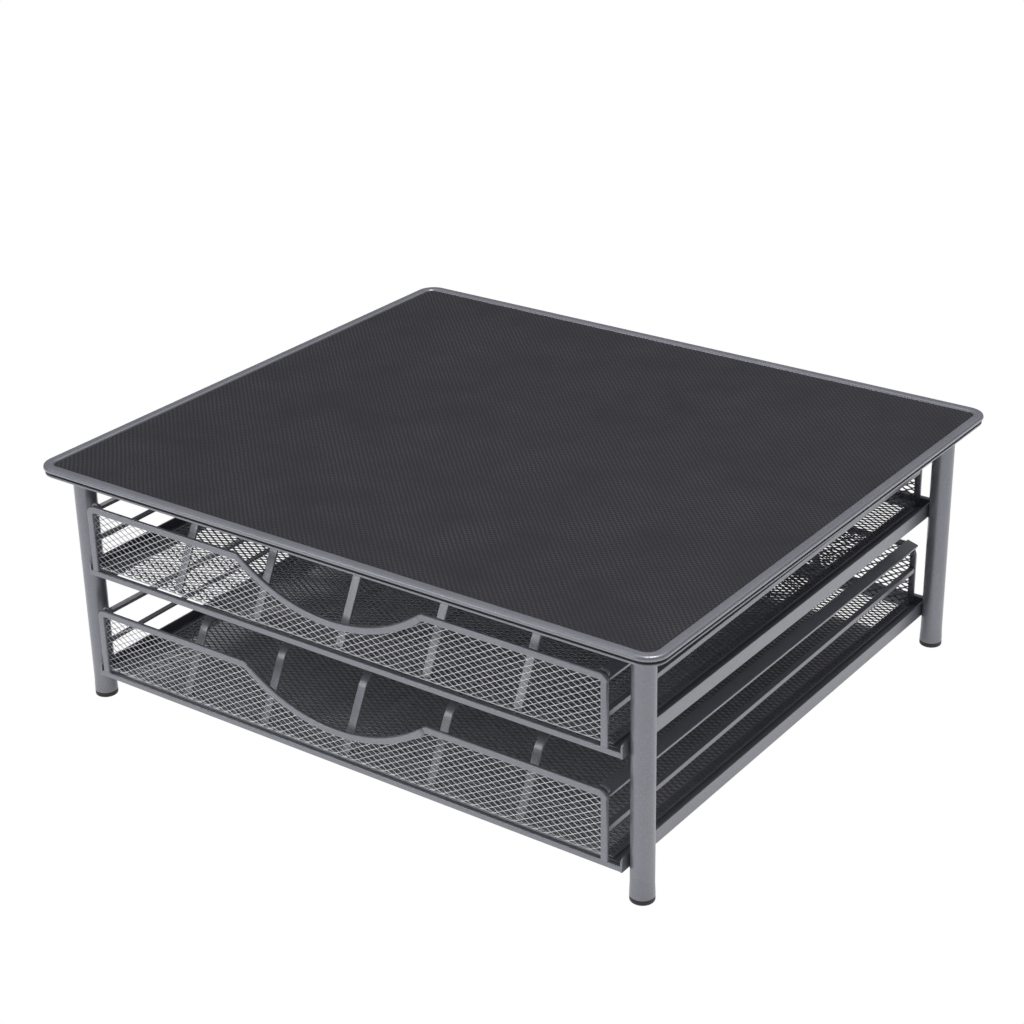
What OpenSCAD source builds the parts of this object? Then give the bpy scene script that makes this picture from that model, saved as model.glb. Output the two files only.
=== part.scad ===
// Two-tier coffee pod drawer: a steel stand with a matted top and two open mesh drawers.
// Origin on the counter under the middle of the stand, X to the right, Y to the back, Z up.

/* [Stand] */
// Width of the top, over the rim
stand_w = 381; // [378:0.5:384]
// Depth of the top, over the rim
stand_d = 336.6; // [335:0.2:345]
// Height of the rim above the counter
stand_h = 138.4; // [136:0.2:145]
// Outer corner radius of the top
corner_r = 11; // [9:0.5:14]
// Width of the rim bar seen from above
rim_w = 5.9; // [5:0.1:7]
// Height of the rim bar
rim_h = 3.2; // [2.8:0.1:3.6]
// Depth of the mat below the rim
mat_drop = 0.8; // [0.4:0.1:1.2]
// Outer diameter of a leg
leg_dia = 11.8; // [10:0.2:12]
// Height of a foot cap that shows
cap_h = 2.6; // [2:0.1:4]

/* [Tiers] */
// Height of the lower ledge, where the lower drawer rests
ledge_z = 19.8; // [16:0.2:22]
// Height from the lower ledge to the upper ledge
tier_pitch = 60.6; // [58:0.2:62]
// Height of the side rail above its ledge
rail_up = 4.6; // [3:0.1:6]
// Height of the side rail below its ledge
rail_down = 3.3; // [3:0.1:4]
// Width of the ledge
ledge_w = 11.8; // [10:0.1:14]

/* [Drawer] */
// Width over the front frame
drawer_w = 322.8; // [320:0.2:325]
// Height of the top edge of the front frame above the ledge
front_h = 39.9; // [38:0.1:42]
// Width of the frame bars
frame_w = 3.8; // [3:0.1:5]
// Depth of the frame bars
frame_t = 2; // [1.6:0.1:3]
// Radius of the scoop in the front
scoop_r = 90; // [80:1:110]
// Depth of the scoop
scoop_depth = 20.3; // [16:0.1:24]
// Thickness of the mesh
mesh_t = 0.8; // [0.6:0.1:1]
// Distance from lane to lane
lane_pitch = 53.6; // [50:0.2:53.6]
// Width of the divider strip
divider_w = 5; // [4:0.5:6]
// Top of the divider above the ledge
divider_h = 39.7; // [37:0.1:42]
// Lean of the divider's legs from upright
divider_lean = 27; // [24:1:34]

/* [Hidden] */
$fn = 64;

// Heights of the top
deck_t = 1.2;
seam = 0.8;
rim_z = stand_h - rim_h;
deck_z = rim_z - seam - deck_t;
mat_t = stand_h - mat_drop - deck_z - deck_t;
deck_inset = 0.8;
plinth_inset = 1.6;
mat_gap = 0.2;
rim_round = 1.2;

// Distances in from the edges of the top
leg_inset = [17.1, 17.9, 19];
rail_inset = [9.6, 13.3];
drawer_inset = 6.3;

// Legs and feet
leg_r = leg_dia / 2;
leg_wall = 1.2;
leg_x = stand_w / 2 - leg_inset.x;
front_leg_y = leg_inset.y - stand_d / 2;
back_leg_y = stand_d / 2 - leg_inset.z;
flare_r = leg_r + 0.25;
flare_h = 4;
plug_gap = 0.1;
plug_h = 7;
cap_round = 1;

// Side rails and cross bars
sheet_t = 1.2;
rail_x = leg_x - leg_r;
rail_front = rail_inset.x - stand_d / 2;
rail_back = stand_d / 2 - rail_inset.y;
rail_nose_r = 3;
bar_t = 3;
back_bar_up = 5.5;
ledge_in = rail_x - sheet_t - ledge_w;

// Drawer, front to back, heights above the ledge
front_y = drawer_inset - stand_d / 2;
stop_gap = 0.4;
back_y = rail_back - bar_t - stop_gap;
rest_gap = 0.3;
hem_t = 0.6;
hem_w = 6;
floor_z = rest_gap + hem_t;
floor_top = floor_z + mesh_t;
floor_w = drawer_w - 1.4;
back_w = drawer_w - 0.8;
frame_lap = 1.5;
mesh_front_y = front_y + frame_t;
mesh_back_y = back_y - frame_t;
fold_r = 5;
fold_z = floor_z + fold_r;
fold_front_y = mesh_front_y + fold_r;
fold_back_y = mesh_back_y - fold_r;
frame_foot_z = 2;
front_corner_r = 4.5;
scoop_lip_r = 6;
scoop_z = front_h - scoop_depth + scoop_r;
scoop_lip_x = sqrt(pow(scoop_r + scoop_lip_r, 2) - pow(scoop_z - front_h + scoop_lip_r, 2));
back_drop = 1.65;
back_h = front_h - back_drop;
back_corner_r = 8;

// Top and middle side rails of the drawer
strip_w = 6.5;
strip_inset = 0.2;
strip_drop = 2.7;
strip_x = drawer_w / 2 - strip_inset;
strip_z = front_h - strip_drop;
strip_rise = 1.95;
strip_t = 1;
strip_inner_lip = 1.85;
strip_outer_lip = 1.4;
mid_z = 17.4;
mid_rise = 3.6;
mid_h = 2.9;
mid_w = 3.3;

// Dividers
lanes = 6;
divider_t = 1.2;
divider_bend = 12;
divider_bend_steps = 7;
foot_gap = 0.4;
divider_bend_z = divider_h - divider_t / 2 - divider_bend;
divider_leg = (divider_bend_z + divider_bend * sin(divider_lean) - floor_top) / cos(divider_lean);
divider_reach = divider_bend * cos(divider_lean) + divider_leg * sin(divider_lean);
front_bend_y = fold_front_y + foot_gap + divider_reach;
back_bend_y = fold_back_y - foot_gap - divider_reach;

// Diamond nets: pitch across and along, part of a cell that is open
front_net = [16, 11];
floor_net = [50, 36];
back_net = [24, 15];
net_open = 0.8;
floor_net_open = 0.87;
floor_columns = 3;

steel_grey = [0.53, 0.54, 0.57];
mesh_grey = [0.42, 0.43, 0.46];
mat_grey = [0.25, 0.25, 0.27];
cap_black = [0.1, 0.1, 0.11];

function tier_z(tier) = tier == "upper" ? ledge_z + tier_pitch : ledge_z;

// Flat shapes

module rounded_rect(w, d, r) {
    square([w - 2 * r, d], center = true);
    square([w, d - 2 * r], center = true);
    for (x = [-1, 1], y = [-1, 1])
        translate([x * (w / 2 - r), y * (d / 2 - r)]) circle(r = r);
}

// A panel standing on z = foot with rounded upper corners, its edges drawn in by inset
module arch(w, h, r, inset, foot) {
    half = w / 2 - inset;
    top = h - inset;
    round_r = r - inset;
    translate([-half, foot]) square([2 * half, top - round_r - foot]);
    translate([round_r - half, foot]) square([2 * (half - round_r), top - foot]);
    for (x = [-1, 1])
        translate([x * (half - round_r), top - round_r]) circle(r = round_r);
}

// The front panel: an arch with a scoop whose lips are rounded
module front_outline(inset, foot) {
    lip_r = scoop_lip_r - inset;
    cut_r = scoop_r + inset;
    top = front_h - inset;
    shoulder = top - lip_r + lip_r * (scoop_z - top + lip_r) / (cut_r + lip_r);
    difference() {
        arch(drawer_w, front_h, front_corner_r, inset, foot);
        translate([-scoop_lip_x, shoulder]) square([2 * scoop_lip_x, top]);
        translate([0, scoop_z]) circle(r = cut_r, $fn = 180);
    }
    for (x = [-1, 1])
        translate([x * scoop_lip_x, top - lip_r]) circle(r = lip_r);
}

module diamond(cell, open) {
    polygon([[-cell.x, 0], [0, -cell.y], [cell.x, 0], [0, cell.y]] * open / 2);
}

// Part of a ring between two angles less than half a turn apart
module ring_sector(r_in, r_out, from, to) {
    reach = 2 * r_out;
    middle = (from + to) / 2;
    intersection() {
        difference() {
            circle(r = r_out);
            circle(r = r_in);
        }
        polygon([[0, 0], reach * [cos(from), sin(from)], reach * [cos(middle), sin(middle)],
            reach * [cos(to), sin(to)]]);
    }
}

// Places a shape drawn in (x, z) so that it fills y = from to y = from + t
module upright(from, t) {
    translate([0, from + t, 0]) rotate([90, 0, 0]) linear_extrude(t) children();
}

// Places a shape drawn in (y, z) so that it runs along X from x = from
module along_x(from, w) {
    translate([from, 0, 0]) rotate([90, 0, 90]) linear_extrude(w) children();
}

// Places a shape drawn in (x, z) so that it runs along Y from y = from
module along_y(from, w) {
    upright(from, w) children();
}

// Stand

// Section of the rim bar, flat underneath, with its corners cut off
module rim_profile() {
    half = rim_w / 2;
    shoulder = half - rim_round;
    polygon([[shoulder, 0], [half, rim_round], [half, rim_h - rim_round], [shoulder, rim_h],
        [-shoulder, rim_h], [-half, rim_h - rim_round], [-half, rim_round], [-shoulder, 0]]);
}

module rim_run(length) {
    translate([0, length / 2, 0]) rotate([90, 0, 0]) linear_extrude(length) children();
}

module top_rim() {
    side = rim_w / 2;
    bend = corner_r - side;
    color(steel_grey) {
        for (turn = [0:3]) {
            span = turn % 2 == 0 ? [stand_w, stand_d] : [stand_d, stand_w];
            rotate([0, 0, 90 * turn]) {
                translate([span.x / 2 - side, 0, rim_z])
                    rim_run(span.y - 2 * corner_r) rim_profile();
                translate([span.x / 2 - corner_r, span.y / 2 - corner_r, rim_z])
                    rotate_extrude(angle = 90) translate([bend, 0]) rim_profile();
            }
        }
        translate([0, 0, rim_z - seam]) linear_extrude(seam + rim_round) difference() {
            rounded_rect(stand_w - 2 * plinth_inset, stand_d - 2 * plinth_inset, corner_r - plinth_inset);
            rounded_rect(stand_w - 2 * rim_w, stand_d - 2 * rim_w, corner_r - rim_w);
        }
    }
}

module deck_sheet() {
    color(steel_grey) translate([0, 0, deck_z]) linear_extrude(deck_t)
        rounded_rect(stand_w - 2 * deck_inset, stand_d - 2 * deck_inset, corner_r - deck_inset);
}

module top_mat() {
    inset = rim_w + mat_gap;
    color(mat_grey) translate([0, 0, deck_z + deck_t]) linear_extrude(mat_t)
        rounded_rect(stand_w - 2 * inset, stand_d - 2 * inset, corner_r - rim_w);
}

// A tube with a slightly belled foot, from the foot cap to the deck
module leg(x, y) {
    length = deck_z - cap_h;
    color(steel_grey) translate([x, y, cap_h]) difference() {
        union() {
            cylinder(r = leg_r, h = length);
            cylinder(r1 = flare_r, r2 = leg_r, h = flare_h);
        }
        translate([0, 0, -1]) cylinder(r = leg_r - leg_wall, h = length + 2);
    }
}

// A plastic cap with a plug that goes up inside the leg
module foot_cap(x, y) {
    color(cap_black) translate([x, y, 0]) {
        cylinder(r1 = flare_r - cap_round / 2, r2 = flare_r, h = cap_round);
        translate([0, 0, cap_round]) cylinder(r = flare_r, h = cap_h - cap_round);
        translate([0, 0, cap_h]) cylinder(r = leg_r - leg_wall - plug_gap, h = plug_h);
    }
}

// Side rail: an upright face with a ledge folded inwards and a small lip down
module side_rail(side, z) {
    color(steel_grey) mirror([side < 0 ? 1 : 0, 0, 0]) translate([0, 0, z]) {
        along_x(rail_x - sheet_t, sheet_t) {
            translate([rail_front, -rail_down])
                square([rail_back - rail_front, rail_down + rail_up - rail_nose_r]);
            translate([rail_front + rail_nose_r, -rail_down])
                square([rail_back - rail_front - rail_nose_r, rail_down + rail_up]);
            translate([rail_front + rail_nose_r, rail_up - rail_nose_r]) circle(r = rail_nose_r);
        }
        along_y(rail_front + bar_t, rail_back - rail_front - 2 * bar_t) {
            translate([ledge_in, -sheet_t]) square([ledge_w, sheet_t]);
            translate([ledge_in, -rail_down]) square([sheet_t, rail_down]);
        }
    }
}

module cross_bar(y, z, up) {
    length = 2 * (rail_x - sheet_t);
    color(steel_grey) translate([-length / 2, y, z - rail_down]) cube([length, bar_t, rail_down + up]);
}

// Drawer, drawn with the ledge at z = 0

module at_tier(tier) {
    translate([0, 0, tier_z(tier)]) children();
}

module front_frame() {
    color(steel_grey) upright(front_y, frame_t) difference() {
        front_outline(0, frame_foot_z);
        front_outline(frame_w, -1);
    }
}

module front_mesh() {
    rows = floor((front_h - frame_w - fold_z) / (front_net.y / 2)) - 1;
    half = drawer_w / 2 - frame_w;
    columns = ceil(half / front_net.x);
    color(mesh_grey) {
        upright(mesh_front_y, mesh_t) difference() {
            front_outline(frame_lap, fold_z);
            for (row = [1:rows], column = [-columns:columns]) {
                x = (column + (row % 2) / 2) * front_net.x;
                z = fold_z + row * front_net.y / 2;
                peak = scoop_z - sqrt(pow(scoop_r + frame_w, 2) - pow(min(abs(x), scoop_r), 2));
                clear_side = abs(x) + front_net.x / 2 < half;
                clear_top = abs(x) > scoop_lip_x + scoop_lip_r || z + front_net.y / 2 < peak;
                if (clear_side && clear_top)
                    translate([x, z]) diamond(front_net, net_open);
            }
        }
        along_x(frame_lap - drawer_w / 2, drawer_w - 2 * frame_lap)
            translate([fold_front_y, fold_z]) ring_sector(fold_r - mesh_t, fold_r, 180, 270);
    }
}

module floor_mesh() {
    length = fold_back_y - fold_front_y;
    middle = (fold_back_y + fold_front_y) / 2;
    rows = floor(length / floor_net.y) - 1;
    color(mesh_grey) {
        translate([0, middle, floor_z]) linear_extrude(mesh_t) difference() {
            square([floor_w, length], center = true);
            for (row = [-rows:rows], column = [-floor_columns:floor_columns]) {
                x = (column + (abs(row) % 2) / 2) * floor_net.x;
                if (abs(x) + floor_net.x / 2 < floor_w / 2 - hem_w)
                    translate([x, row * floor_net.y / 2]) diamond(floor_net, floor_net_open);
            }
        }
        for (side = [-1, 1])
            translate([side * (floor_w - hem_w) / 2 - hem_w / 2, fold_front_y, rest_gap])
                cube([hem_w, length, hem_t]);
    }
}

module back_mesh() {
    half = drawer_w / 2 - frame_w;
    rows = floor((back_h - frame_w - fold_z) / (back_net.y / 2)) - 1;
    columns = ceil(half / back_net.x);
    color(mesh_grey) {
        upright(mesh_back_y - mesh_t, mesh_t) difference() {
            arch(drawer_w, back_h, back_corner_r, frame_lap, fold_z);
            for (row = [1:rows], column = [-columns:columns]) {
                x = (column + (row % 2) / 2) * back_net.x;
                if (abs(x) + back_net.x / 2 < half)
                    translate([x, fold_z + row * back_net.y / 2]) diamond(back_net, net_open);
            }
        }
        along_x(frame_lap - drawer_w / 2, drawer_w - 2 * frame_lap)
            translate([fold_back_y, fold_z]) ring_sector(fold_r - mesh_t, fold_r, 270, 360);
    }
}

module back_frame() {
    color(steel_grey) upright(mesh_back_y, frame_t) difference() {
        arch(back_w, back_h, back_corner_r, 0, frame_foot_z);
        arch(back_w, back_h, back_corner_r, frame_w, -1);
    }
}

// Pressed strip along the top of a drawer side, higher on the inside, with turned-down edges
module top_side_rail(side) {
    slope = strip_rise / strip_w;
    inner = strip_x - strip_w;
    outer_top = strip_z;
    inner_top = strip_z + strip_rise;
    plate = [[strip_x, outer_top], [inner, inner_top], [inner, inner_top - strip_t],
        [strip_x, outer_top - strip_t]];
    lips = [[strip_x, outer_top], [inner, inner_top], [inner, inner_top - strip_inner_lip],
        [inner + strip_t, inner_top - strip_inner_lip],
        [inner + strip_t, inner_top - strip_t * (1 + slope)],
        [strip_x - strip_t, outer_top - strip_t * (1 - slope)],
        [strip_x - strip_t, outer_top - strip_outer_lip], [strip_x, outer_top - strip_outer_lip]];
    start = mesh_front_y + mesh_t;
    color(steel_grey) mirror([side < 0 ? 1 : 0, 0, 0]) {
        along_y(start, mesh_back_y - start) polygon(lips);
        along_y(mesh_back_y, frame_t) polygon(plate);
    }
}

// Side view of a strip of the middle rail, which climbs to the back
module mid_strip(drop) {
    start = mesh_front_y + mesh_t;
    end = mesh_back_y - mesh_t;
    front_top = mid_z + mid_h;
    back_top = front_top + mid_rise;
    polygon([[start, front_top - drop], [end, back_top - drop], [end, back_top], [start, front_top]]);
}

// Angle strip along the middle of a drawer side
module mid_side_rail(side) {
    outer = strip_x - strip_inset;
    color(steel_grey) mirror([side < 0 ? 1 : 0, 0, 0]) {
        along_x(outer - strip_t, strip_t) mid_strip(mid_h);
        along_x(outer - mid_w, mid_w) mid_strip(strip_t);
    }
}

// Points of a divider's bend, from the leg to the run, on a radius around the middle of the bend
function bend_points(bend_y, toward, radius) = [for (step = [0:divider_bend_steps])
    let (angle = divider_lean + (90 - divider_lean) * step / divider_bend_steps)
    [bend_y + toward * radius * cos(angle), divider_bend_z + radius * sin(angle)]];

function reversed(points) = [for (i = [len(points) - 1:-1:0]) points[i]];

// Flat strip bent into a low hoop, standing on the floor just inside the front and the back
module divider(number) {
    x = (number - lanes / 2) * lane_pitch;
    inner_r = divider_bend - divider_t / 2;
    outer_r = divider_bend + divider_t / 2;
    foot_half = divider_t / 2 / cos(divider_lean);
    front_foot = front_bend_y - divider_reach;
    back_foot = back_bend_y + divider_reach;
    color(steel_grey) along_x(x - divider_w / 2, divider_w) polygon(concat(
        [[front_foot - foot_half, floor_top]],
        bend_points(front_bend_y, -1, outer_r),
        reversed(bend_points(back_bend_y, 1, outer_r)),
        [[back_foot + foot_half, floor_top], [back_foot - foot_half, floor_top]],
        bend_points(back_bend_y, 1, inner_r),
        reversed(bend_points(front_bend_y, -1, inner_r)),
        [[front_foot + foot_half, floor_top]]));
}

top_rim();
deck_sheet();
top_mat();
leg(-leg_x, front_leg_y);  // front_left_leg
leg(leg_x, front_leg_y);  // front_right_leg
leg(-leg_x, back_leg_y);  // back_left_leg
leg(leg_x, back_leg_y);  // back_right_leg
foot_cap(-leg_x, front_leg_y);  // front_left_foot_cap
foot_cap(leg_x, front_leg_y);  // front_right_foot_cap
foot_cap(-leg_x, back_leg_y);  // back_left_foot_cap
foot_cap(leg_x, back_leg_y);  // back_right_foot_cap
side_rail(-1, tier_z("lower"));  // lower_left_side_rail
side_rail(1, tier_z("lower"));  // lower_right_side_rail
cross_bar(rail_front, tier_z("lower"), 0);  // lower_front_bar
cross_bar(rail_back - bar_t, tier_z("lower"), back_bar_up);  // lower_back_bar
side_rail(-1, tier_z("upper"));  // upper_left_side_rail
side_rail(1, tier_z("upper"));  // upper_right_side_rail
cross_bar(rail_front, tier_z("upper"), 0);  // upper_front_bar
cross_bar(rail_back - bar_t, tier_z("upper"), back_bar_up);  // upper_back_bar
at_tier("lower") front_frame();  // lower_front_frame
at_tier("lower") front_mesh();  // lower_front_mesh
at_tier("lower") floor_mesh();  // lower_floor_mesh
at_tier("lower") back_mesh();  // lower_back_mesh
at_tier("lower") back_frame();  // lower_back_frame
at_tier("lower") top_side_rail(-1);  // lower_left_top_rail
at_tier("lower") top_side_rail(1);  // lower_right_top_rail
at_tier("lower") mid_side_rail(-1);  // lower_left_mid_rail
at_tier("lower") mid_side_rail(1);  // lower_right_mid_rail
at_tier("lower") divider(1);  // lower_divider_1
at_tier("lower") divider(2);  // lower_divider_2
at_tier("lower") divider(3);  // lower_divider_3
at_tier("lower") divider(4);  // lower_divider_4
at_tier("lower") divider(5);  // lower_divider_5
at_tier("upper") front_frame();  // upper_front_frame
at_tier("upper") front_mesh();  // upper_front_mesh
at_tier("upper") floor_mesh();  // upper_floor_mesh
at_tier("upper") back_mesh();  // upper_back_mesh
at_tier("upper") back_frame();  // upper_back_frame
at_tier("upper") top_side_rail(-1);  // upper_left_top_rail
at_tier("upper") top_side_rail(1);  // upper_right_top_rail
at_tier("upper") mid_side_rail(-1);  // upper_left_mid_rail
at_tier("upper") mid_side_rail(1);  // upper_right_mid_rail
at_tier("upper") divider(1);  // upper_divider_1
at_tier("upper") divider(2);  // upper_divider_2
at_tier("upper") divider(3);  // upper_divider_3
at_tier("upper") divider(4);  // upper_divider_4
at_tier("upper") divider(5);  // upper_divider_5
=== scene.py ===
import math

import bmesh
import bpy
from mathutils import Matrix, Vector


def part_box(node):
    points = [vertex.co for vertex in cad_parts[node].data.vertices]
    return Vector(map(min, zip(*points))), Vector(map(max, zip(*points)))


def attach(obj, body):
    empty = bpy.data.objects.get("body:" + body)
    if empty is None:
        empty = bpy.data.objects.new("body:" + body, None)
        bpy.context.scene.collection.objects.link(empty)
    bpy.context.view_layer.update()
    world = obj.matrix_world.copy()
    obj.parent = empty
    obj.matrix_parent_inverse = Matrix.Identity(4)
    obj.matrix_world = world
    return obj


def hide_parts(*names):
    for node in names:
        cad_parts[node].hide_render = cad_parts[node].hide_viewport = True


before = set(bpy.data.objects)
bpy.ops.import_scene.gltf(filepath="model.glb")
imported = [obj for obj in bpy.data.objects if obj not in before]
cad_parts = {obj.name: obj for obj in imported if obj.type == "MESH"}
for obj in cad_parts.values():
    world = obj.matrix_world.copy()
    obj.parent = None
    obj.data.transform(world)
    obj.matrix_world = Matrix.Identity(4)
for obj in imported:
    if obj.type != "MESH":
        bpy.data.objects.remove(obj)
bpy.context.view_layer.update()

mm = 0.001
print("frame loaded:", len(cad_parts), "pieces")


def linearColour(hexCode):
    parts = [int(hexCode[i:i + 2], 16) / 255 for i in (1, 3, 5)]
    straight = [p / 12.92 if p <= 0.04045 else ((p + 0.055) / 1.055) ** 2.4 for p in parts]
    return (*straight, 1.0)


def addNode(tree, kind, settings=None, inputs=None):
    # settings are the node's own fields, inputs are values or the sockets linked in
    node = tree.nodes.new(kind)
    for field, value in (settings or {}).items():
        setattr(node, field, value)
    for key, value in (inputs or {}).items():
        if isinstance(value, bpy.types.NodeSocket):
            tree.links.new(value, node.inputs[key])
        else:
            node.inputs[key].default_value = value
    return node


def startMaterial(name):
    material = bpy.data.materials.new(name)
    material.use_nodes = True
    material.node_tree.nodes.clear()
    return material, material.node_tree


def placeOf(node):
    low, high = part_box(node)
    return low, high, (low + high) / 2


def pushFace(bm, face, offset):
    made = bmesh.ops.extrude_face_region(bm, geom=[face])["geom"]
    bmesh.ops.translate(bm, verts=[g for g in made if isinstance(g, bmesh.types.BMVert)], vec=offset)
    return next(g for g in made if isinstance(g, bmesh.types.BMFace))


def turnFace(bm, face, centre, axis, angle, steps):
    made = bmesh.ops.spin(bm, geom=[face], cent=centre, axis=axis, dvec=(0, 0, 0), angle=angle,
                          steps=steps, use_merge=False, use_duplicate=False)["geom_last"]
    return next(g for g in made if isinstance(g, bmesh.types.BMFace))


def softenEdges(bm, radius, segments=3, sharperThan=40):
    bmesh.ops.recalc_face_normals(bm, faces=bm.faces[:])
    sharp = [e for e in bm.edges if e.calc_face_angle(0) > math.radians(sharperThan)]
    bmesh.ops.bevel(bm, geom=sharp, offset=radius, offset_type="OFFSET", affect="EDGES",
                    segments=segments, profile=0.5, material=-1, clamp_overlap=True)


def bentBar(bm, start, heading, axis, size, moves):
    # a flat bar off a bending jig: ("run", length) goes straight, ("bend", radius, degrees) turns
    # about the axis. size is the bar across the plane of the bends and along the axis.
    here, heading, axis = Vector(start), Vector(heading), Vector(axis)
    side = axis.cross(heading)
    corners = [(-0.5, -0.5), (0.5, -0.5), (0.5, 0.5), (-0.5, 0.5)]
    points = [here + side * size[0] * a + axis * size[1] * b for a, b in corners]
    face = bm.faces.new([bm.verts.new(p) for p in points])
    for move in moves:
        if move[0] == "run":
            step = heading * move[1]
            face = pushFace(bm, face, step)
            here = here + step
        else:
            radius, angle = move[1], math.radians(move[2])
            centre = here + axis.cross(heading) * math.copysign(radius, angle)
            steps = max(3, math.ceil(abs(move[2]) / 8), math.ceil(abs(angle) * radius / (4 * mm)))
            face = turnFace(bm, face, centre, axis, angle, steps)
            turn = Matrix.Rotation(angle, 3, axis)
            here = centre + turn @ (here - centre)
            heading = turn @ heading


def sectionAlong(bm, points, offset):
    # points outline a section, which is pushed along offset
    face = bm.faces.new([bm.verts.new(p) for p in points])
    pushFace(bm, face, offset)


def joinInto(bm, part):
    # copies the shape in part into bm and lets part go
    mesh = bpy.data.meshes.new("part")
    part.to_mesh(mesh)
    part.free()
    bm.from_mesh(mesh)
    bpy.data.meshes.remove(mesh)


def finishPiece(bm, name, material, body, nodes=(), weighted=True):
    bmesh.ops.recalc_face_normals(bm, faces=bm.faces[:])
    mesh = bpy.data.meshes.new(name)
    bm.to_mesh(mesh)
    bm.free()
    mesh.shade_smooth()
    mesh.materials.append(material)
    piece = bpy.data.objects.new(name, mesh)
    bpy.context.scene.collection.objects.link(piece)
    if weighted:
        weight = piece.modifiers.new("faceWeighted", "WEIGHTED_NORMAL")
        weight.weight = 100
    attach(piece, body)
    if nodes:
        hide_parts(*nodes)
    return piece


# the camera comes first, because everything is judged through it

cameraView = {
    "place": (0.6348, -0.8789, 0.6006),
    "azimuth": 36.13088,
    "elevation": 25.00574,
    "roll": -1.12417,
    "lens": 78.37,
}


def makeCamera():
    azimuth, elevation, roll = (math.radians(cameraView[k]) for k in ("azimuth", "elevation", "roll"))
    forward = Vector((-math.sin(azimuth) * math.cos(elevation),
                      math.cos(azimuth) * math.cos(elevation), -math.sin(elevation)))
    right = Vector((math.cos(azimuth), math.sin(azimuth), 0))
    up = right.cross(forward)
    rolledRight = right * math.cos(roll) + up * math.sin(roll)
    rolledUp = up * math.cos(roll) - right * math.sin(roll)
    data = bpy.data.cameras.new("photoCamera")
    data.lens = cameraView["lens"]
    data.sensor_width = 36
    data.clip_start, data.clip_end = 0.05, 60
    camera = bpy.data.objects.new("photoCamera", data)
    bpy.context.scene.collection.objects.link(camera)
    turn = Matrix((rolledRight, rolledUp, -forward)).transposed().to_4x4()
    camera.matrix_world = Matrix.Translation(cameraView["place"]) @ turn
    bpy.context.scene.camera = camera
    print("camera placed")


# the finishes

coatLook = {
    "grey": "#85868e",
    "darker": "#787981",
    "stripGreyPaintedShade": "#74757c",     # painted shade: the bent dividers are painted darker than the frames, for the shade inside the drawers
    "stripDarkerPaintedShade": "#696a70",
    "frontGreyPaintedHighlight": "#f1f2f6",     # painted highlight: the front mesh is painted far lighter than the same steel elsewhere, for the shine on its strands
    "frontDarkerPaintedHighlight": "#e2e3e8",
    "frontMetallic": 0.7,
    "flake": "#a3a4ac",
    "roughness": 0.35,
    "metallic": 0.45,
    "roughnessSwing": 0.05,
    "gloss": 0.3,               # weight of the clear layer on the powder
    "glossRoughness": 0.2,
    "peelSize": 1.6 * mm,       # orange peel of baked powder, drawn a little coarse so that it shows
    "cloudSize": 30 * mm,
    "flakeSize": 0.7 * mm,
    "flakeShare": 0.35,
    "peelDepth": 0.006 * mm,
}


def powderCoatedSteel(name, grey, darker, metallic):
    # steel under a baked grey powder with a metal flake: a soft satin gloss, fine speckle, orange peel
    material, tree = startMaterial(name)
    place = addNode(tree, "ShaderNodeTexCoord")
    cloud = addNode(tree, "ShaderNodeTexNoise", {}, {
        "Vector": place.outputs["Object"], "Scale": 1 / coatLook["cloudSize"], "Detail": 3.0})
    base = addNode(tree, "ShaderNodeMix", {"data_type": "RGBA"}, {
        "Factor": cloud.outputs["Fac"], "A": linearColour(darker), "B": linearColour(grey)})
    flake = addNode(tree, "ShaderNodeTexNoise", {}, {
        "Vector": place.outputs["Object"], "Scale": 1 / coatLook["flakeSize"], "Detail": 2.0})
    flakeShare = addNode(tree, "ShaderNodeMapRange", {}, {
        "Value": flake.outputs["Fac"], "From Min": 0.5, "From Max": 0.75, "To Min": 0.0,
        "To Max": coatLook["flakeShare"]})
    colour = addNode(tree, "ShaderNodeMix", {"data_type": "RGBA"}, {
        "Factor": flakeShare.outputs["Result"], "A": base.outputs[2],
        "B": linearColour(coatLook["flake"])})
    peel = addNode(tree, "ShaderNodeTexNoise", {}, {
        "Vector": place.outputs["Object"], "Scale": 1 / coatLook["peelSize"], "Detail": 2.0})
    roughness = addNode(tree, "ShaderNodeMapRange", {}, {
        "Value": cloud.outputs["Fac"], "To Min": coatLook["roughness"] - coatLook["roughnessSwing"],
        "To Max": coatLook["roughness"] + coatLook["roughnessSwing"]})
    bump = addNode(tree, "ShaderNodeBump", {}, {
        "Height": peel.outputs["Fac"], "Distance": coatLook["peelDepth"], "Strength": 1.0})
    shader = addNode(tree, "ShaderNodeBsdfPrincipled", {}, {
        "Base Color": colour.outputs[2], "Metallic": metallic,
        "Roughness": roughness.outputs["Result"], "Normal": bump.outputs["Normal"],
        "Coat Weight": coatLook["gloss"], "Coat Roughness": coatLook["glossRoughness"]})
    addNode(tree, "ShaderNodeOutputMaterial", {}, {"Surface": shader.outputs["BSDF"]})
    return material


matLook = {
    "charcoal": "#49484d",
    # the colour in the pits between the grains: painted shade in the hollows
    "pit": "#28282c",
    "roughness": 0.6,
    "sheen": 0.15,
    "grain": 3.1 * mm,          # every second row of grains
    "wander": 0.6 * mm,         # how far the rows wander
    "wanderSize": 9 * mm,
    "wearSize": 25 * mm,
    "grainHeight": 0.16 * mm,
}


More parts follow.
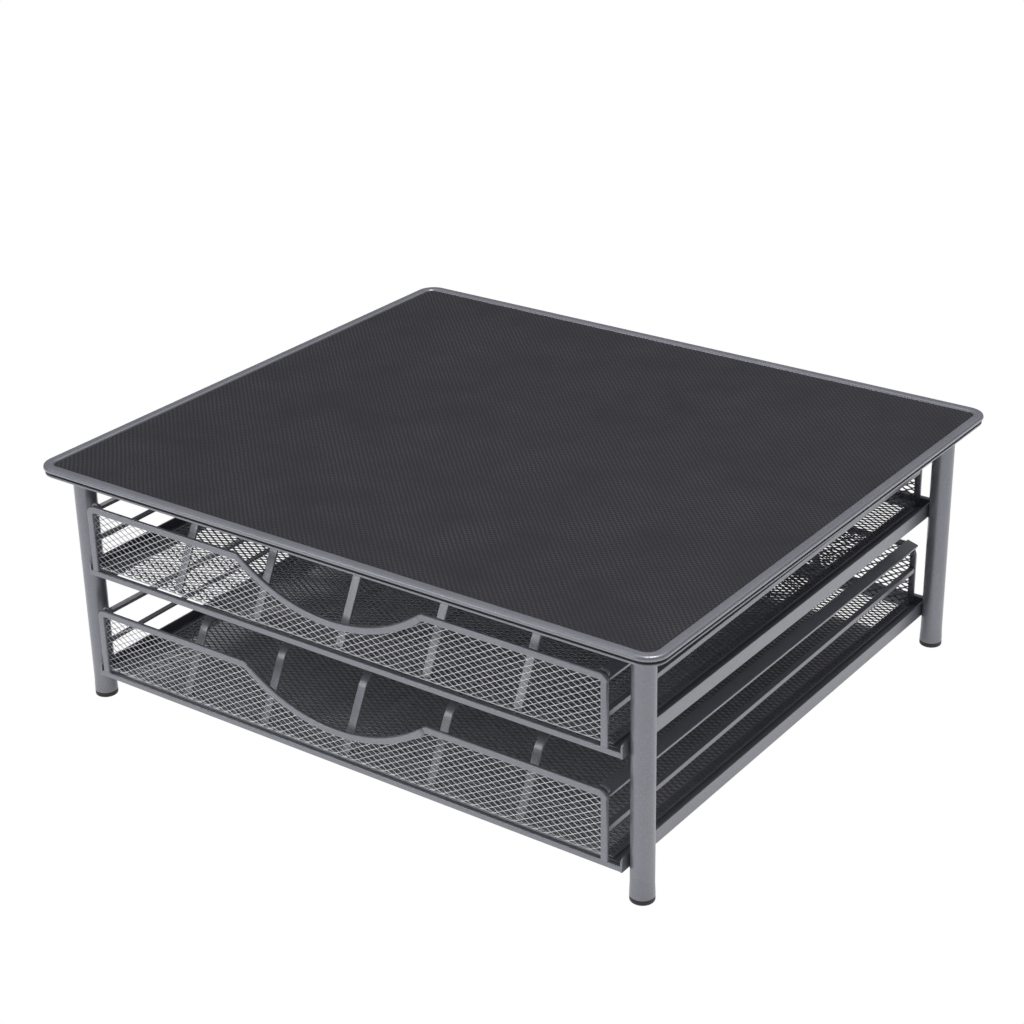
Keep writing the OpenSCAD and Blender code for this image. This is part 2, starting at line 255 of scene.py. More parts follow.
def calenderedRubber():
    # non-slip rubber rolled against a grained drum: rows of small raised grains, dull with a faint sheen
    material, tree = startMaterial("calenderedRubber")
    place = addNode(tree, "ShaderNodeTexCoord")
    drift = addNode(tree, "ShaderNodeTexNoise", {}, {
        "Vector": place.outputs["Object"], "Scale": 1 / matLook["wanderSize"], "Detail": 2.0})
    shift = addNode(tree, "ShaderNodeVectorMath", {"operation": "MULTIPLY_ADD"}, {
        0: drift.outputs["Color"], 1: (2 * matLook["wander"],) * 3, 2: place.outputs["Object"]})
    split = addNode(tree, "ShaderNodeSeparateXYZ", {}, {"Vector": shift.outputs[0]})
    waves = []
    for axis in ("X", "Y"):
        turn = addNode(tree, "ShaderNodeMath", {"operation": "MULTIPLY"}, {
            0: split.outputs[axis], 1: 2 * math.pi / matLook["grain"]})
        waves.append(addNode(tree, "ShaderNodeMath", {"operation": "SINE"}, {0: turn.outputs[0]}))
    both = addNode(tree, "ShaderNodeMath", {"operation": "MULTIPLY"}, {
        0: waves[0].outputs[0], 1: waves[1].outputs[0]})
    grain = addNode(tree, "ShaderNodeMapRange", {}, {
        "Value": both.outputs[0], "From Min": -0.4, "From Max": 1.0})
    wear = addNode(tree, "ShaderNodeTexNoise", {}, {
        "Vector": place.outputs["Object"], "Scale": 1 / matLook["wearSize"], "Detail": 4.0})
    share = addNode(tree, "ShaderNodeMath", {"operation": "MULTIPLY"}, {
        0: grain.outputs["Result"], 1: wear.outputs["Fac"]})
    # colour follows the grains' height: the pits get painted shade and the grain tops are lighter, and a slow
    # noise varies at random how much it shows
    colour = addNode(tree, "ShaderNodeMix", {"data_type": "RGBA"}, {
        "Factor": share.outputs[0], "A": linearColour(matLook["pit"]),
        "B": linearColour(matLook["charcoal"])})
    bump = addNode(tree, "ShaderNodeBump", {}, {
        "Height": grain.outputs["Result"], "Distance": matLook["grainHeight"], "Strength": 1.0})
    shader = addNode(tree, "ShaderNodeBsdfPrincipled", {}, {
        "Base Color": colour.outputs[2], "Roughness": matLook["roughness"],
        "Specular IOR Level": matLook["sheen"], "Normal": bump.outputs["Normal"]})
    addNode(tree, "ShaderNodeOutputMaterial", {}, {"Surface": shader.outputs["BSDF"]})
    return material


footLook = {
    "black": "#17171a",
    "scuffed": "#26262a",
    "roughness": 0.45,
    "grain": 0.8 * mm,          # mould grain, drawn coarse so that it shows
    "grainHeight": 0.02 * mm,
}


def mouldedPolyethylene():
    # black polyethylene out of an injection mould: waxy half gloss with a fine spark-eroded grain
    material, tree = startMaterial("mouldedPolyethylene")
    place = addNode(tree, "ShaderNodeTexCoord")
    grain = addNode(tree, "ShaderNodeTexNoise", {}, {
        "Vector": place.outputs["Object"], "Scale": 1 / footLook["grain"], "Detail": 3.0})
    colour = addNode(tree, "ShaderNodeMix", {"data_type": "RGBA"}, {
        "Factor": grain.outputs["Fac"], "A": linearColour(footLook["black"]),
        "B": linearColour(footLook["scuffed"])})
    bump = addNode(tree, "ShaderNodeBump", {}, {
        "Height": grain.outputs["Fac"], "Distance": footLook["grainHeight"], "Strength": 1.0})
    shader = addNode(tree, "ShaderNodeBsdfPrincipled", {}, {
        "Base Color": colour.outputs[2], "Roughness": footLook["roughness"],
        "Normal": bump.outputs["Normal"]})
    addNode(tree, "ShaderNodeOutputMaterial", {}, {"Surface": shader.outputs["BSDF"]})
    return material


framePaint = coatLook["grey"], coatLook["darker"], coatLook["metallic"]
standPaint = powderCoatedSteel("powderCoatedSteelStand", *framePaint)
drawerPaint = powderCoatedSteel("powderCoatedSteelDrawer", *framePaint)
# the dividers get a darker copy of the frame paint: painted shade for the inside of the drawers
dividerPaintWithShade = powderCoatedSteel("powderCoatedSteelStripPaintedShade", coatLook["stripGreyPaintedShade"],
                                 coatLook["stripDarkerPaintedShade"], coatLook["metallic"])
meshPaint = powderCoatedSteel("powderCoatedExpandedMesh", *framePaint)
# the front mesh gets a much lighter copy of the paint: a painted highlight
paintedHighlightMeshPaint = powderCoatedSteel("powderCoatedFrontMeshPaintedHighlight", coatLook["frontGreyPaintedHighlight"],
                                    coatLook["frontDarkerPaintedHighlight"], coatLook["frontMetallic"])
matRubber = calenderedRubber()
footPlastic = mouldedPolyethylene()
print("materials made")


# the top: rim bar, deck sheet and mat

topSizes = {
    "cornerRadius": 11 * mm,
    "cornerSteps": 10,
    "barWidth": 5.9 * mm,
    "barHeight": 3.0 * mm,
    "barRound": 1.45 * mm,
    "seamInset": 3.6 * mm,      # the rim steps in under its bar
    "seamLap": 0.4 * mm,
    "seamGap": 0.3 * mm,
    "deckInset": 0.8 * mm,
    "deckRound": 0.4 * mm,
    "matRound": 0.5 * mm,
}


def roundedSheet(bm, low, high, radius, barWidth=0):
    # a sheet with round corners; with a barWidth, only a ring of that width along its edge
    made = bmesh.ops.create_grid(bm, x_segments=1, y_segments=1, size=0.5)["verts"]
    bmesh.ops.scale(bm, verts=made, vec=(high.x - low.x, high.y - low.y, 1))
    bmesh.ops.translate(bm, verts=made, vec=((low.x + high.x) / 2, (low.y + high.y) / 2, high.z))
    bmesh.ops.bevel(bm, geom=made, offset=radius, offset_type="OFFSET", affect="VERTICES",
                    segments=topSizes["cornerSteps"], profile=0.5, material=-1)
    sheet = bm.faces[:]
    if barWidth:
        bm.faces.ensure_lookup_table()
        ring = bmesh.ops.inset_region(bm, faces=sheet, thickness=barWidth, use_even_offset=True,
                                      use_boundary=True)["faces"]
        bmesh.ops.delete(bm, geom=[f for f in sheet if f.is_valid and f not in ring], context="FACES")
        sheet = ring
    made = bmesh.ops.extrude_face_region(bm, geom=sheet)["geom"]
    bmesh.ops.translate(bm, verts=[g for g in made if isinstance(g, bmesh.types.BMVert)],
                        vec=(0, 0, low.z - high.z))


def insetBox(low, high, inset, floorZ, topZ):
    return (Vector((low.x + inset, low.y + inset, floorZ)), Vector((high.x - inset, high.y - inset, topZ)))


def makeTop():
    low, high, _ = placeOf("top_rim")
    bm = bmesh.new()
    barFloor = high.z - topSizes["barHeight"]
    roundedSheet(bm, *insetBox(low, high, 0, barFloor, high.z), topSizes["cornerRadius"],
                 topSizes["barWidth"])
    softenEdges(bm, topSizes["barRound"], 5)
    seam = bmesh.new()
    roundedSheet(seam, *insetBox(low, high, topSizes["seamInset"], low.z, barFloor + topSizes["seamLap"]),
                 topSizes["cornerRadius"] - topSizes["seamInset"],
                 topSizes["barWidth"] - topSizes["seamInset"] - topSizes["seamGap"])
    bmesh.ops.recalc_face_normals(seam, faces=seam.faces[:])
    joinInto(bm, seam)
    finishPiece(bm, "rim_bar", standPaint, "stand", ["top_rim"])

    low, high, _ = placeOf("deck_sheet")
    bm = bmesh.new()
    roundedSheet(bm, low, high, topSizes["cornerRadius"] - topSizes["deckInset"])
    softenEdges(bm, topSizes["deckRound"])
    finishPiece(bm, "deck_plate", standPaint, "stand", ["deck_sheet"])

    low, high, _ = placeOf("top_mat")
    bm = bmesh.new()
    roundedSheet(bm, low, high, topSizes["cornerRadius"] - topSizes["barWidth"])
    softenEdges(bm, topSizes["matRound"])
    finishPiece(bm, "mat_sheet", matRubber, "stand", ["top_mat"])
    print("top made")


# legs and foot caps

legSizes = {
    "radius": 5.9 * mm,
    "wall": 1.2 * mm,
    "bell": 0.25 * mm,          # how far the foot opens
    "bellHeight": 9 * mm,
    "bellSteps": 6,
    "sides": 48,
    "lip": 0.25 * mm,
    "capRound": 0.8 * mm,
    "capEdge": 0.1 * mm,
    "plugHeight": 7 * mm,
    "plugGap": 0.1 * mm,
    "plugEdge": 0.5 * mm,
}


def spinProfile(bm, profile, centre, closed):
    # profile is (radius, height) points of half a section, spun round the upright axis at centre
    verts = [bm.verts.new((centre.x + r, centre.y, z)) for r, z in profile]
    pairs = zip(verts, verts[1:] + verts[:1]) if closed else zip(verts, verts[1:])
    edges = [bm.edges.new(pair) for pair in pairs]
    bmesh.ops.spin(bm, geom=verts + edges, cent=centre, axis=(0, 0, 1), dvec=(0, 0, 0),
                   angle=2 * math.pi, steps=legSizes["sides"], use_merge=True, use_duplicate=False)
    bmesh.ops.remove_doubles(bm, verts=bm.verts[:], dist=0.001 * mm)


def makeLegs():
    for end in ("front", "back"):
        for side in ("left", "right"):
            corner = f"{end}_{side}"
            low, high, centre = placeOf(corner + "_leg")
            centre.z = 0
            radius, bell, steps = legSizes["radius"], legSizes["bell"], legSizes["bellSteps"]
            outer = []
            for i in range(steps + 1):
                opening = 0.5 + 0.5 * math.cos(math.pi * i / steps)
                outer.append((radius + bell * opening, low.z + legSizes["bellHeight"] * i / steps))
            inner = radius - legSizes["wall"]
            lip = legSizes["lip"]
            rest = [(radius, high.z), (inner, high.z), (inner, low.z)]
            mouth = [(radius + bell - lip, low.z), (radius + bell, low.z + lip)]
            bm = bmesh.new()
            spinProfile(bm, mouth + outer[1:] + rest, centre, closed=True)
            finishPiece(bm, corner + "_leg_tube", standPaint, "stand", [corner + "_leg"])

            low, high, centre = placeOf(corner + "_foot_cap")
            centre.z = 0
            top = high.z - legSizes["plugHeight"]
            wall, curve, edge = radius + bell, legSizes["capRound"], legSizes["capEdge"]
            plug, plugEdge = inner - legSizes["plugGap"], legSizes["plugEdge"]
            arc = [(wall - curve + curve * math.sin(a), low.z + curve - curve * math.cos(a))
                   for a in (math.radians(d) for d in (0, 22.5, 45, 67.5, 90))]
            profile = [(0, low.z)] + arc
            profile += [(wall, top - edge), (wall - edge, top), (plug, top)]
            profile += [(plug, high.z - plugEdge), (plug - plugEdge, high.z), (0, high.z)]
            bm = bmesh.new()
            spinProfile(bm, profile, centre, closed=False)
            finishPiece(bm, corner + "_foot", footPlastic, "stand", [corner + "_foot_cap"])
    print("legs made")


# side rails and cross bars of the stand

railSizes = {
    "sheet": 1.2 * mm,
    "nose": 3 * mm,
    "endGap": 3 * mm,           # the ledge stops at the cross bars
    "up": 4.6 * mm,             # how far the wall stands above the ledge
    "lap": 0.8,                 # share of the wall that the ledge starts in
    "barOverlap": 1 * mm,
    "edge": 0.3 * mm,
    "barEdge": 0.7 * mm,
}


def makeRail(tier, side):
    node = f"{tier}_{side}_side_rail"
    low, high, _ = placeOf(node)
    sign = 1 if side == "right" else -1
    outer = high.x if side == "right" else low.x
    inner = low.x if side == "right" else high.x
    sheet, gap = railSizes["sheet"], railSizes["endGap"]
    ledgeZ = high.z - railSizes["up"]
    bm = bmesh.new()
    corners = [(outer, low.y, low.z), (outer, high.y, low.z), (outer, high.y, high.z), (outer, low.y, high.z)]
    verts = [bm.verts.new(c) for c in corners]
    bm.faces.new(verts)
    bmesh.ops.bevel(bm, geom=[verts[3]], offset=railSizes["nose"], offset_type="OFFSET",
                    affect="VERTICES", segments=6, profile=0.5, material=-1)
    pushFace(bm, bm.faces[:][0], (-sign * sheet, 0, 0))
    wallIn = outer - sign * sheet * railSizes["lap"]
    section = [(wallIn, ledgeZ), (wallIn, ledgeZ - sheet), (inner + sign * sheet, ledgeZ - sheet),
               (inner + sign * sheet, low.z), (inner, low.z), (inner, ledgeZ)]
    sectionAlong(bm, [(x, low.y + gap, z) for x, z in section], (0, high.y - low.y - 2 * gap, 0))
    softenEdges(bm, railSizes["edge"], 2)
    finishPiece(bm, f"{tier}_{side}_slide_rail", standPaint, "stand", [node])


def makeCrossBar(tier, end):
    node = f"{tier}_{end}_bar"
    low, high, centre = placeOf(node)
    bm = bmesh.new()
    length = high.x - low.x + railSizes["barOverlap"]
    bentBar(bm, (centre.x - length / 2, centre.y, centre.z), (1, 0, 0), (0, 0, 1),
            (high.y - low.y, high.z - low.z), [("run", length)])
    softenEdges(bm, railSizes["barEdge"], 4)
    finishPiece(bm, f"{tier}_{end}_cross_bar", standPaint, "stand", [node])


def makeCarriers():
    for tier in ("lower", "upper"):
        for side in ("left", "right"):
            makeRail(tier, side)
        for end in ("front", "back"):
            makeCrossBar(tier, end)
    print("rails and cross bars made")


# drawer frames, strips and dividers

frameSizes = {
    "barWidth": 3.8 * mm,
    "barEdge": 0.7 * mm,
    "frontCorner": 4.5 * mm,
    "backCorner": 8 * mm,
    "scoopRadius": 90 * mm,
    "scoopDepth": 20.3 * mm,
    "lipRadius": 6 * mm,
}


def scoopTurn():
    # the angle by which the bar dips at each lip, from the two circles that touch there
    radius, lip = frameSizes["scoopRadius"], frameSizes["lipRadius"]
    return math.acos((radius - frameSizes["scoopDepth"] + lip) / (radius + lip))


def makeFrontFrame(tier, body):
    node = tier + "_front_frame"
    low, high, centre = placeOf(node)
    bar = frameSizes["barWidth"]
    corner = frameSizes["frontCorner"]
    lip = frameSizes["lipRadius"]
    dip = scoopTurn()
    lipX = (frameSizes["scoopRadius"] + lip) * math.sin(dip)
    rise = high.z - low.z - corner
    level = (high.x - low.x) / 2 - corner - lipX
    half = bar / 2
    moves = [("run", rise), ("bend", corner - half, -90), ("run", level),
             ("bend", lip - half, -math.degrees(dip)),
             ("bend", frameSizes["scoopRadius"] + half, 2 * math.degrees(dip)),
             ("bend", lip - half, -math.degrees(dip)),
             ("run", level), ("bend", corner - half, -90), ("run", rise)]
    bm = bmesh.new()
    bentBar(bm, (low.x + half, centre.y, low.z), (0, 0, 1), (0, -1, 0), (bar, high.y - low.y), moves)
    softenEdges(bm, frameSizes["barEdge"], 4)
    finishPiece(bm, tier + "_front_bar_frame", drawerPaint, body, [node])


def makeBackFrame(tier, body):
    node = tier + "_back_frame"
    low, high, centre = placeOf(node)
    bar = frameSizes["barWidth"]
    corner = frameSizes["backCorner"]
    half = bar / 2
    rise = high.z - low.z - corner
    moves = [("run", rise), ("bend", corner - half, -90), ("run", high.x - low.x - 2 * corner),
             ("bend", corner - half, -90), ("run", rise)]
    bm = bmesh.new()
    bentBar(bm, (low.x + half, centre.y, low.z), (0, 0, 1), (0, -1, 0), (bar, high.y - low.y), moves)
    softenEdges(bm, frameSizes["barEdge"], 4)
    finishPiece(bm, tier + "_back_bar_frame", drawerPaint, body, [node])


stripSizes = {
    "sheet": 1 * mm,
    "rise": 1.95 * mm,
    "innerLip": 1.85 * mm,
    "outerLip": 1.4 * mm,
    "width": 6.5 * mm,
    "overFrame": 2 * mm,        # only the flat plate runs on over the back frame
    "plateLap": 0.5 * mm,
    "beadWidth": 1.5 * mm,      # weld bead over the front end, up against the frame's corner
    "beadReach": 0.36,          # half its arch, as a share of the strip's width
    "beadFoot": 1.2 * mm,
    "edge": 0.3 * mm,
    "midHeight": 2.9 * mm,      # the middle strip is higher at the back than at the front
}


def makeTopStrip(tier, side, body):
    node = f"{tier}_{side}_top_rail"
    low, high, _ = placeOf(node)
    sign = 1 if side == "right" else -1
    outer = high.x if side == "right" else low.x
    inner = outer - sign * stripSizes["width"]
    sheet = stripSizes["sheet"]
    slope = stripSizes["rise"] / stripSizes["width"]
    innerTop = high.z
    outerTop = innerTop - stripSizes["rise"]
    lips = [(outer, outerTop), (inner, innerTop), (inner, innerTop - stripSizes["innerLip"]),
            (inner + sign * sheet, innerTop - stripSizes["innerLip"]),
            (inner + sign * sheet, innerTop - sheet * (1 + slope)),
            (outer - sign * sheet, outerTop - sheet * (1 - slope)),
            (outer - sign * sheet, outerTop - stripSizes["outerLip"]),
            (outer, outerTop - stripSizes["outerLip"])]
    length = high.y - low.y - stripSizes["overFrame"]
    bm = bmesh.new()
    sectionAlong(bm, [(x, low.y, z) for x, z in lips], (0, length, 0))
    plate = [(outer, outerTop), (inner, innerTop), (inner, innerTop - sheet), (outer, outerTop - sheet)]
    lap = stripSizes["plateLap"]
    sectionAlong(bm, [(x, low.y + length - lap, z) for x, z in plate],
                 (0, stripSizes["overFrame"] + lap, 0))
    bead, foot = stripSizes["beadWidth"], stripSizes["beadFoot"]
    reach = stripSizes["width"] * stripSizes["beadReach"]
    middle = Vector(((outer + inner) / 2, low.y + bead / 2, (outerTop + innerTop) / 2 - reach / 2))
    bentBar(bm, middle + Vector((-sign * (reach + foot / 2), 0, -foot / 2)), (0, 0, 1), (0, -sign, 0),
            (bead, bead), [("run", foot), ("bend", reach, -90), ("bend", reach, -90), ("run", foot)])
    softenEdges(bm, stripSizes["edge"], 2)
    finishPiece(bm, f"{tier}_{side}_top_strip", drawerPaint, body, [node])


def makeMidStrip(tier, side, body):
    node = f"{tier}_{side}_mid_rail"
    low, high, _ = placeOf(node)
    sign = 1 if side == "right" else -1
    outer = high.x if side == "right" else low.x
    inner = low.x if side == "right" else high.x
    sheet = stripSizes["sheet"]
    top = low.z + stripSizes["midHeight"]
    angle = [(outer, low.z), (outer, top), (inner, top), (inner, top - sheet),
             (outer - sign * sheet, top - sheet), (outer - sign * sheet, low.z)]
    bm = bmesh.new()
    sectionAlong(bm, [(x, low.y, z) for x, z in angle], (0, high.y - low.y, high.z - top))
    softenEdges(bm, stripSizes["edge"], 2)
    finishPiece(bm, f"{tier}_{side}_mid_strip", drawerPaint, body, [node])


dividerSizes = {
    "strip": 1.2 * mm,
    "bend": 12 * mm,
    "lean": 27,                 # degrees from upright
    "edge": 0.35 * mm,
}


def makeDivider(tier, number, body):
    node = f"{tier}_divider_{number}"
    low, high, centre = placeOf(node)
    lean = math.radians(dividerSizes["lean"])
    bend, strip = dividerSizes["bend"], dividerSizes["strip"]
    bendZ = high.z - strip / 2 - bend
    leg = (bendZ + bend * math.sin(lean) - low.z) / math.cos(lean)
    reach = bend * math.cos(lean) + leg * math.sin(lean)
    footY = low.y + strip / 2 / math.cos(lean)
    run = 2 * (centre.y - footY - reach)
    turn = 90 - dividerSizes["lean"]
    bm = bmesh.new()
    bentBar(bm, (centre.x, footY, low.z), (0, math.sin(lean), math.cos(lean)), (1, 0, 0),
            (strip, high.x - low.x),
            [("run", leg), ("bend", bend, -turn), ("run", run), ("bend", bend, -turn), ("run", leg)])
    softenEdges(bm, dividerSizes["edge"], 2)
    finishPiece(bm, f"{tier}_divider_strip_{number}", dividerPaintWithShade, body, [node])


# expanded mesh: one slit and stretched steel sheet, folded up at the front and the back

meshSizes = {
    "longPitch": 6.11 * mm,     # diamond length along X
    "rowPitch": 1.715 * mm,     # half of a diamond's short way
    "frontStrand": 0.34 * mm,
    "floorStrand": 0.8 * mm,    # the same for the back
    "sheet": 0.28 * mm,
    "knuckle": 0.8 * mm,
    "weld": 0.02 * mm,          # how far neighbouring strands run into each other
    "foldRadius": 4.6 * mm,
    "foldLift": 0.4 * mm,
    "underBar": 1.5 * mm,       # the sheet ends this far in from the frame's outline
    "strandPeriods": 54,        # diamonds in one strand before it is cut to length
    "floorDrop": 0.4 * mm,
    "floorInset": 0.3 * mm,
    "hemWidth": 6 * mm,
    "hemSheet": 0.6 * mm,
    "hemLip": 1 * mm,
    "hemEdge": 0.25 * mm,
}


def makeStrand(phase, strand):
    # one flat zigzag strand along X, with u along the sheet as Y and n out of the sheet as Z
    sheet = meshSizes["sheet"]
    swing = meshSizes["rowPitch"] - strand + meshSizes["weld"]
    knuckle = meshSizes["knuckle"]
    slant = meshSizes["longPitch"] / 2 - knuckle
    periods = meshSizes["strandPeriods"]
    start = Vector((-(periods / 2 + phase) * meshSizes["longPitch"], -swing / 2, 0))
    bm = bmesh.new()
    face = bm.faces.new([bm.verts.new(start + Vector((0, a * strand, b * sheet)))
                         for a, b in ((-0.5, -0.5), (0.5, -0.5), (0.5, 0.5), (-0.5, 0.5))])
    for _ in range(periods):
        for step in ((knuckle, 0, 0), (slant, swing, 0), (knuckle, 0, 0), (slant, -swing, 0)):
            face = pushFace(bm, face, step)
    bmesh.ops.recalc_face_normals(bm, faces=bm.faces[:])
    mesh = bpy.data.meshes.new("strand")
    bm.to_mesh(mesh)
    bm.free()
    return mesh


def addStrand(bm, strandMesh, fromX, toX, u):
    # a stretch of strand, cut square at both ends, laid at u along the sheet
    part = bmesh.new()
    part.from_mesh(strandMesh)
    for cutX, outward in ((fromX, -1), (toX, 1)):
        cut = bmesh.ops.bisect_plane(part, geom=part.verts[:] + part.edges[:] + part.faces[:],
                                     plane_co=(cutX, 0, 0), plane_no=(outward, 0, 0), clear_outer=True)
        rim = [g for g in cut["geom_cut"] if isinstance(g, bmesh.types.BMEdge)]
        bmesh.ops.edgeloop_fill(part, edges=rim)
    bmesh.ops.translate(part, verts=part.verts[:], vec=(0, u, 0))
    joinInto(bm, part)


def wallSpans(height, halfWidth, wallTop, corner, scoop):
    # the stretches of X that the sheet covers at this height, under the frame bar
    inset = meshSizes["underBar"]
    cornerZ = wallTop - corner
    reach = halfWidth - inset
    if height > cornerZ:
        reach -= corner - inset - math.sqrt(max((corner - inset) ** 2 - (height - cornerZ) ** 2, 0))
    if not scoop:
        return [(-reach, reach)]
    radius = frameSizes["scoopRadius"] + inset
    above = wallTop - frameSizes["scoopDepth"] + frameSizes["scoopRadius"] - height
    if above >= radius:
        return [(-reach, reach)]
    gap = math.sqrt(radius ** 2 - above ** 2)
    return [(-reach, -gap), (gap, reach)]


def foldSheet(bm, arcY, arcZ, toward):
    # rolls the flat sheet (u as Y, n as Z) up a wall: a quarter turn and then straight up
    radius = meshSizes["foldRadius"]
    arc = radius * math.pi / 2
    for v in bm.verts:
        u, n = v.co.y, v.co.z
        turn = min(u, arc) / radius
        v.co.y = arcY + toward * (radius + n) * math.sin(turn)
        v.co.z = arcZ - (radius + n) * math.cos(turn) + max(u - arc, 0)


def makeWallMesh(tier, end, body, strands):
    node = f"{tier}_{end}_mesh"
    low, high, _ = placeOf(node)
    frameLow, frameHigh, _ = placeOf(f"{tier}_{end}_frame")
    floorLow, floorHigh, _ = placeOf(tier + "_floor_mesh")
    pitch, radius = meshSizes["rowPitch"], meshSizes["foldRadius"]
    arc = radius * math.pi / 2
    arcZ = low.z + radius + meshSizes["foldLift"]
    toward = -1 if end == "front" else 1
    arcY = floorLow.y if end == "front" else floorHigh.y
    wallTop = frameHigh.z
    corner = frameSizes[end + "Corner"]
    rows = int((arc + high.z - arcZ) / pitch)
    bm = bmesh.new()
    for row in range(rows):
        u = (row + 0.5) * pitch
        height = arcZ + max(u - arc, 0)
        spans = wallSpans(height, (frameHigh.x - frameLow.x) / 2, wallTop, corner, end == "front")
        for fromX, toX in spans:
            addStrand(bm, strands[row % 2], fromX, toX, u)
    foldSheet(bm, arcY, arcZ, toward)
    # the front wall takes the lighter paint, which carries a painted highlight
    paint = paintedHighlightMeshPaint if end == "front" else meshPaint
    finishPiece(bm, f"{tier}_{end}_expanded_mesh", paint, body, [node], weighted=False)


def makeFloorMesh(tier, body, strands):
    node = tier + "_floor_mesh"
    low, high, _ = placeOf(node)
    pitch = meshSizes["rowPitch"]
    rows = int(round((high.y - low.y) / pitch))
    rows -= rows % 2
    pitchHere = (high.y - low.y) / rows
    half = high.x - meshSizes["floorInset"]
    middleZ = high.z - meshSizes["floorDrop"]
    frontRows = rows // 2 + (rows // 2) % 2
    startY = low.y
    for part, count in (("front", frontRows), ("rear", rows - frontRows)):
        bm = bmesh.new()
        for row in range(2):
            addStrand(bm, strands[(row + 1) % 2], -half, half, (row + 0.5) * pitchHere)
        bmesh.ops.translate(bm, verts=bm.verts[:], vec=(0, startY, middleZ))
        piece = finishPiece(bm, f"{tier}_floor_expanded_mesh_{part}", meshPaint, body, [node],
                            weighted=False)
        rowsUp = piece.modifiers.new("rows", "ARRAY")
        rowsUp.use_relative_offset = False
        rowsUp.use_constant_offset = True
        rowsUp.constant_offset_displace = (0, 2 * pitchHere, 0)
        rowsUp.count = count // 2
        startY += count * pitchHere
    bm = bmesh.new()
    for sign in (-1, 1):
        outer = sign * high.x
        inner = outer - sign * meshSizes["hemWidth"]
        lip = outer - sign * meshSizes["hemLip"]
        hemTop = low.z + meshSizes["hemSheet"]
        section = [(outer, low.z), (outer, high.z), (lip, high.z), (lip, hemTop), (inner, hemTop),
                   (inner, low.z)]
        sectionAlong(bm, [(x, low.y, z) for x, z in section], (0, high.y - low.y, 0))
    softenEdges(bm, meshSizes["hemEdge"], 2)
    finishPiece(bm, tier + "_floor_hems", meshPaint, body, [node])


def makeDrawers():
    thinStrands = [makeStrand(phase, meshSizes["frontStrand"]) for phase in (0, 0.5)]
    wideStrands = [makeStrand(phase, meshSizes["floorStrand"]) for phase in (0, 0.5)]
    for tier in ("lower", "upper"):
        body = tier + "_drawer"
        makeFrontFrame(tier, body)
        makeBackFrame(tier, body)
        for side in ("left", "right"):
            makeTopStrip(tier, side, body)
            makeMidStrip(tier, side, body)
        for number in range(1, 6):
            makeDivider(tier, number, body)
        makeWallMesh(tier, "front", body, thinStrands)
        makeWallMesh(tier, "back", body, wideStrands)
        makeFloorMesh(tier, body, wideStrands)
        print(tier, "drawer made")
    for mesh in thinStrands + wideStrands:
        bpy.data.meshes.remove(mesh)


# paper, light and sky

studio = {
    "paper": 0.6,               # how bright the paper is where the stand shades it
    "bounce": 1.15,             # light that comes back up from the table
    "underStand": 0.02,         # what is left of it under the stand
    # the shade under the stand, along X and Y: its middle, dark half and clear half
    "shadeAsItLights": ((0, 0.11, 0.21), (0, 0.09, 0.19)),
    "shadeAsSeen": ((-0.02, 0.158, 0.169), (0.008, 0.1385, 0.1425)),
    "skyHigh": 0.62,
    "skyLow": 0.03,
    "aim": (0, 0, 0.07),
    "lights": [
        # name, place, size, watts
        ("leftSoftbox", (-0.9, -1.45, 0.75), (0.6, 0.6), 6),
        ("topSoftbox", (0.25, 0.15, 1.9), (0.6, 0.6), 26),
    ],
}


def makeRoom(scene):
    # a white light tent that the camera sees as plain white paper
    world = bpy.data.worlds.new("studioRoom")
    world.use_nodes = True
    tree = world.node_tree
    tree.nodes.clear()
    where = addNode(tree, "ShaderNodeTexCoord")
    split = addNode(tree, "ShaderNodeSeparateXYZ", {}, {"Vector": where.outputs["Generated"]})
    sky = addNode(tree, "ShaderNodeMapRange", {"interpolation_type": "SMOOTHSTEP"}, {
        "Value": split.outputs["Z"], "From Min": 0.3, "From Max": 0.8,
        "To Min": studio["skyLow"], "To Max": studio["skyHigh"]})
    white = (1, 1, 1, 1)
    room = addNode(tree, "ShaderNodeBackground", {}, {"Color": white, "Strength": sky.outputs["Result"]})
    paper = addNode(tree, "ShaderNodeBackground", {}, {"Color": white, "Strength": 1.0})
    ray = addNode(tree, "ShaderNodeLightPath")
    seen = addNode(tree, "ShaderNodeMixShader", {}, {
        0: ray.outputs["Is Camera Ray"], 1: room.outputs[0], 2: paper.outputs[0]})
    addNode(tree, "ShaderNodeOutputWorld", {}, {"Surface": seen.outputs[0]})
    scene.world = world


def outsideShade(tree, place, sides, darkest):
    # rises from darkest in the shade under the stand to 1 in the clear
    away = []
    for axis, (middle, dark, clear) in zip("XY", sides):
        offset = addNode(tree, "ShaderNodeMath", {"operation": "SUBTRACT"}, {
            0: place.outputs[axis], 1: middle})
        reach = addNode(tree, "ShaderNodeMath", {"operation": "ABSOLUTE"}, {0: offset.outputs[0]})
        away.append(addNode(tree, "ShaderNodeMapRange", {"interpolation_type": "SMOOTHSTEP"}, {
            "Value": reach.outputs[0], "From Min": dark, "From Max": clear,
            "To Min": darkest, "To Max": 1.0}))
    either = addNode(tree, "ShaderNodeMath", {"operation": "MAXIMUM"}, {
        0: away[0].outputs["Result"], 1: away[1].outputs["Result"]})
    return either.outputs[0]


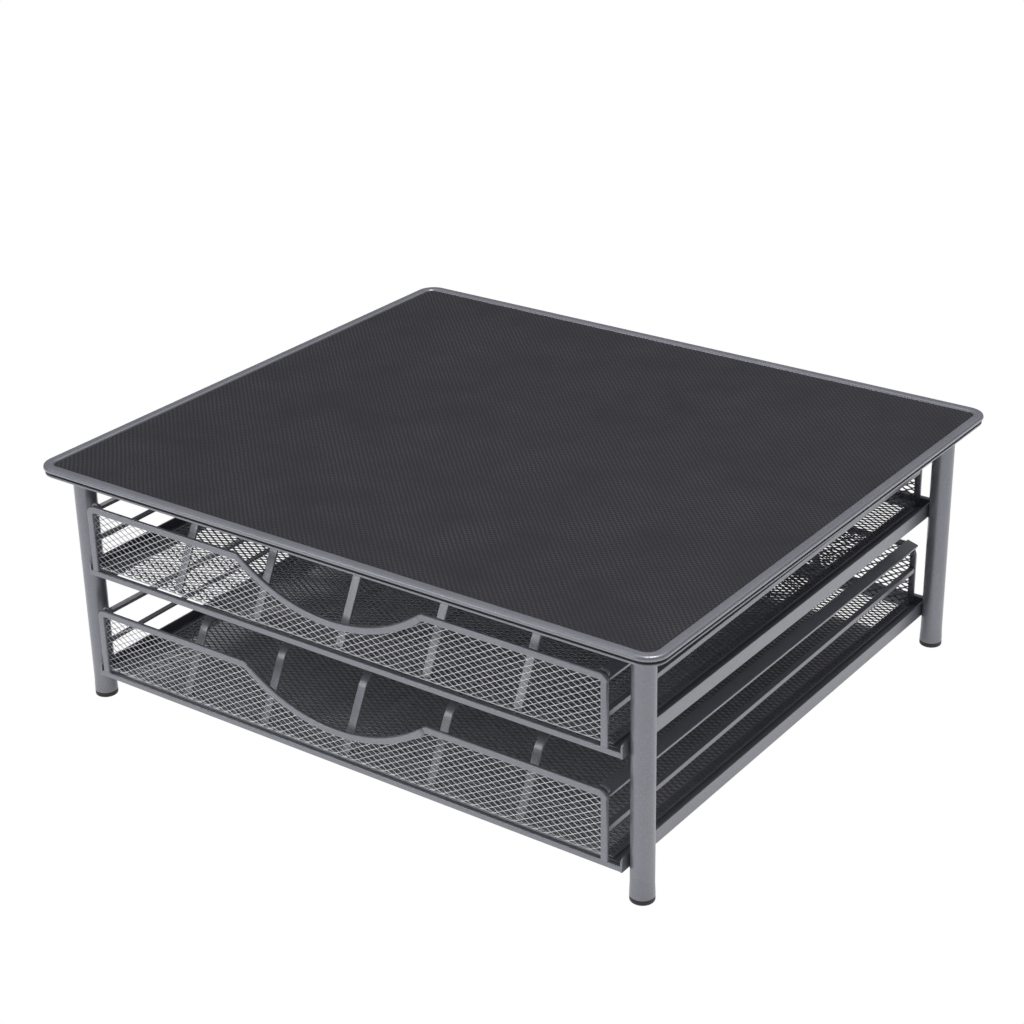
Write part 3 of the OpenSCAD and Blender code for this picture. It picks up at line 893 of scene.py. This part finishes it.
def makeFloor(scene):
    # white paper: for the light it glows as painted bounce light from the table, dimmed under the stand by a
    # painted shade; the camera sees it glowing white, and under the stand as darker paper lit by the lamps, a
    # painted shadow
    bm = bmesh.new()
    bmesh.ops.create_grid(bm, x_segments=1, y_segments=1, size=15)
    mesh = bpy.data.meshes.new("paperFloor")
    bm.to_mesh(mesh)
    bm.free()
    floor = bpy.data.objects.new("paperFloor", mesh)
    scene.collection.objects.link(floor)
    material, tree = startMaterial("whitePaper")
    place = addNode(tree, "ShaderNodeTexCoord")
    split = addNode(tree, "ShaderNodeSeparateXYZ", {}, {"Vector": place.outputs["Object"]})
    strength = addNode(tree, "ShaderNodeMath", {"operation": "MULTIPLY"}, {
        0: outsideShade(tree, split, studio["shadeAsItLights"], studio["underStand"]),
        1: studio["bounce"]})
    bounced = addNode(tree, "ShaderNodeEmission", {}, {"Strength": strength.outputs[0]})
    paper = studio["paper"]
    shade = addNode(tree, "ShaderNodeBsdfDiffuse", {}, {"Color": (paper, paper, paper, 1.0)})
    glow = addNode(tree, "ShaderNodeEmission", {}, {"Strength": 1.0})
    shown = addNode(tree, "ShaderNodeMixShader", {}, {
        0: outsideShade(tree, split, studio["shadeAsSeen"], 0.0), 1: shade.outputs[0],
        2: glow.outputs[0]})
    ray = addNode(tree, "ShaderNodeLightPath")
    seen = addNode(tree, "ShaderNodeMixShader", {}, {
        0: ray.outputs["Is Camera Ray"], 1: bounced.outputs[0], 2: shown.outputs[0]})
    addNode(tree, "ShaderNodeOutputMaterial", {}, {"Surface": seen.outputs[0]})
    mesh.materials.append(material)


def makeStudio():
    scene = bpy.context.scene
    scene.view_settings.view_transform = "Standard"
    makeRoom(scene)
    makeFloor(scene)
    for name, place, size, watts in studio["lights"]:
        data = bpy.data.lights.new(name, "AREA")
        data.shape = "RECTANGLE"
        data.size, data.size_y = size
        data.energy = watts
        light = bpy.data.objects.new(name, data)
        scene.collection.objects.link(light)
        aim = Vector(studio["aim"]) - Vector(place)
        light.matrix_world = Matrix.Translation(place) @ aim.to_track_quat("-Z", "Y").to_matrix().to_4x4()
    print("studio made")


makeCamera()
makeTop()
makeLegs()
makeCarriers()
makeDrawers()
makeStudio()
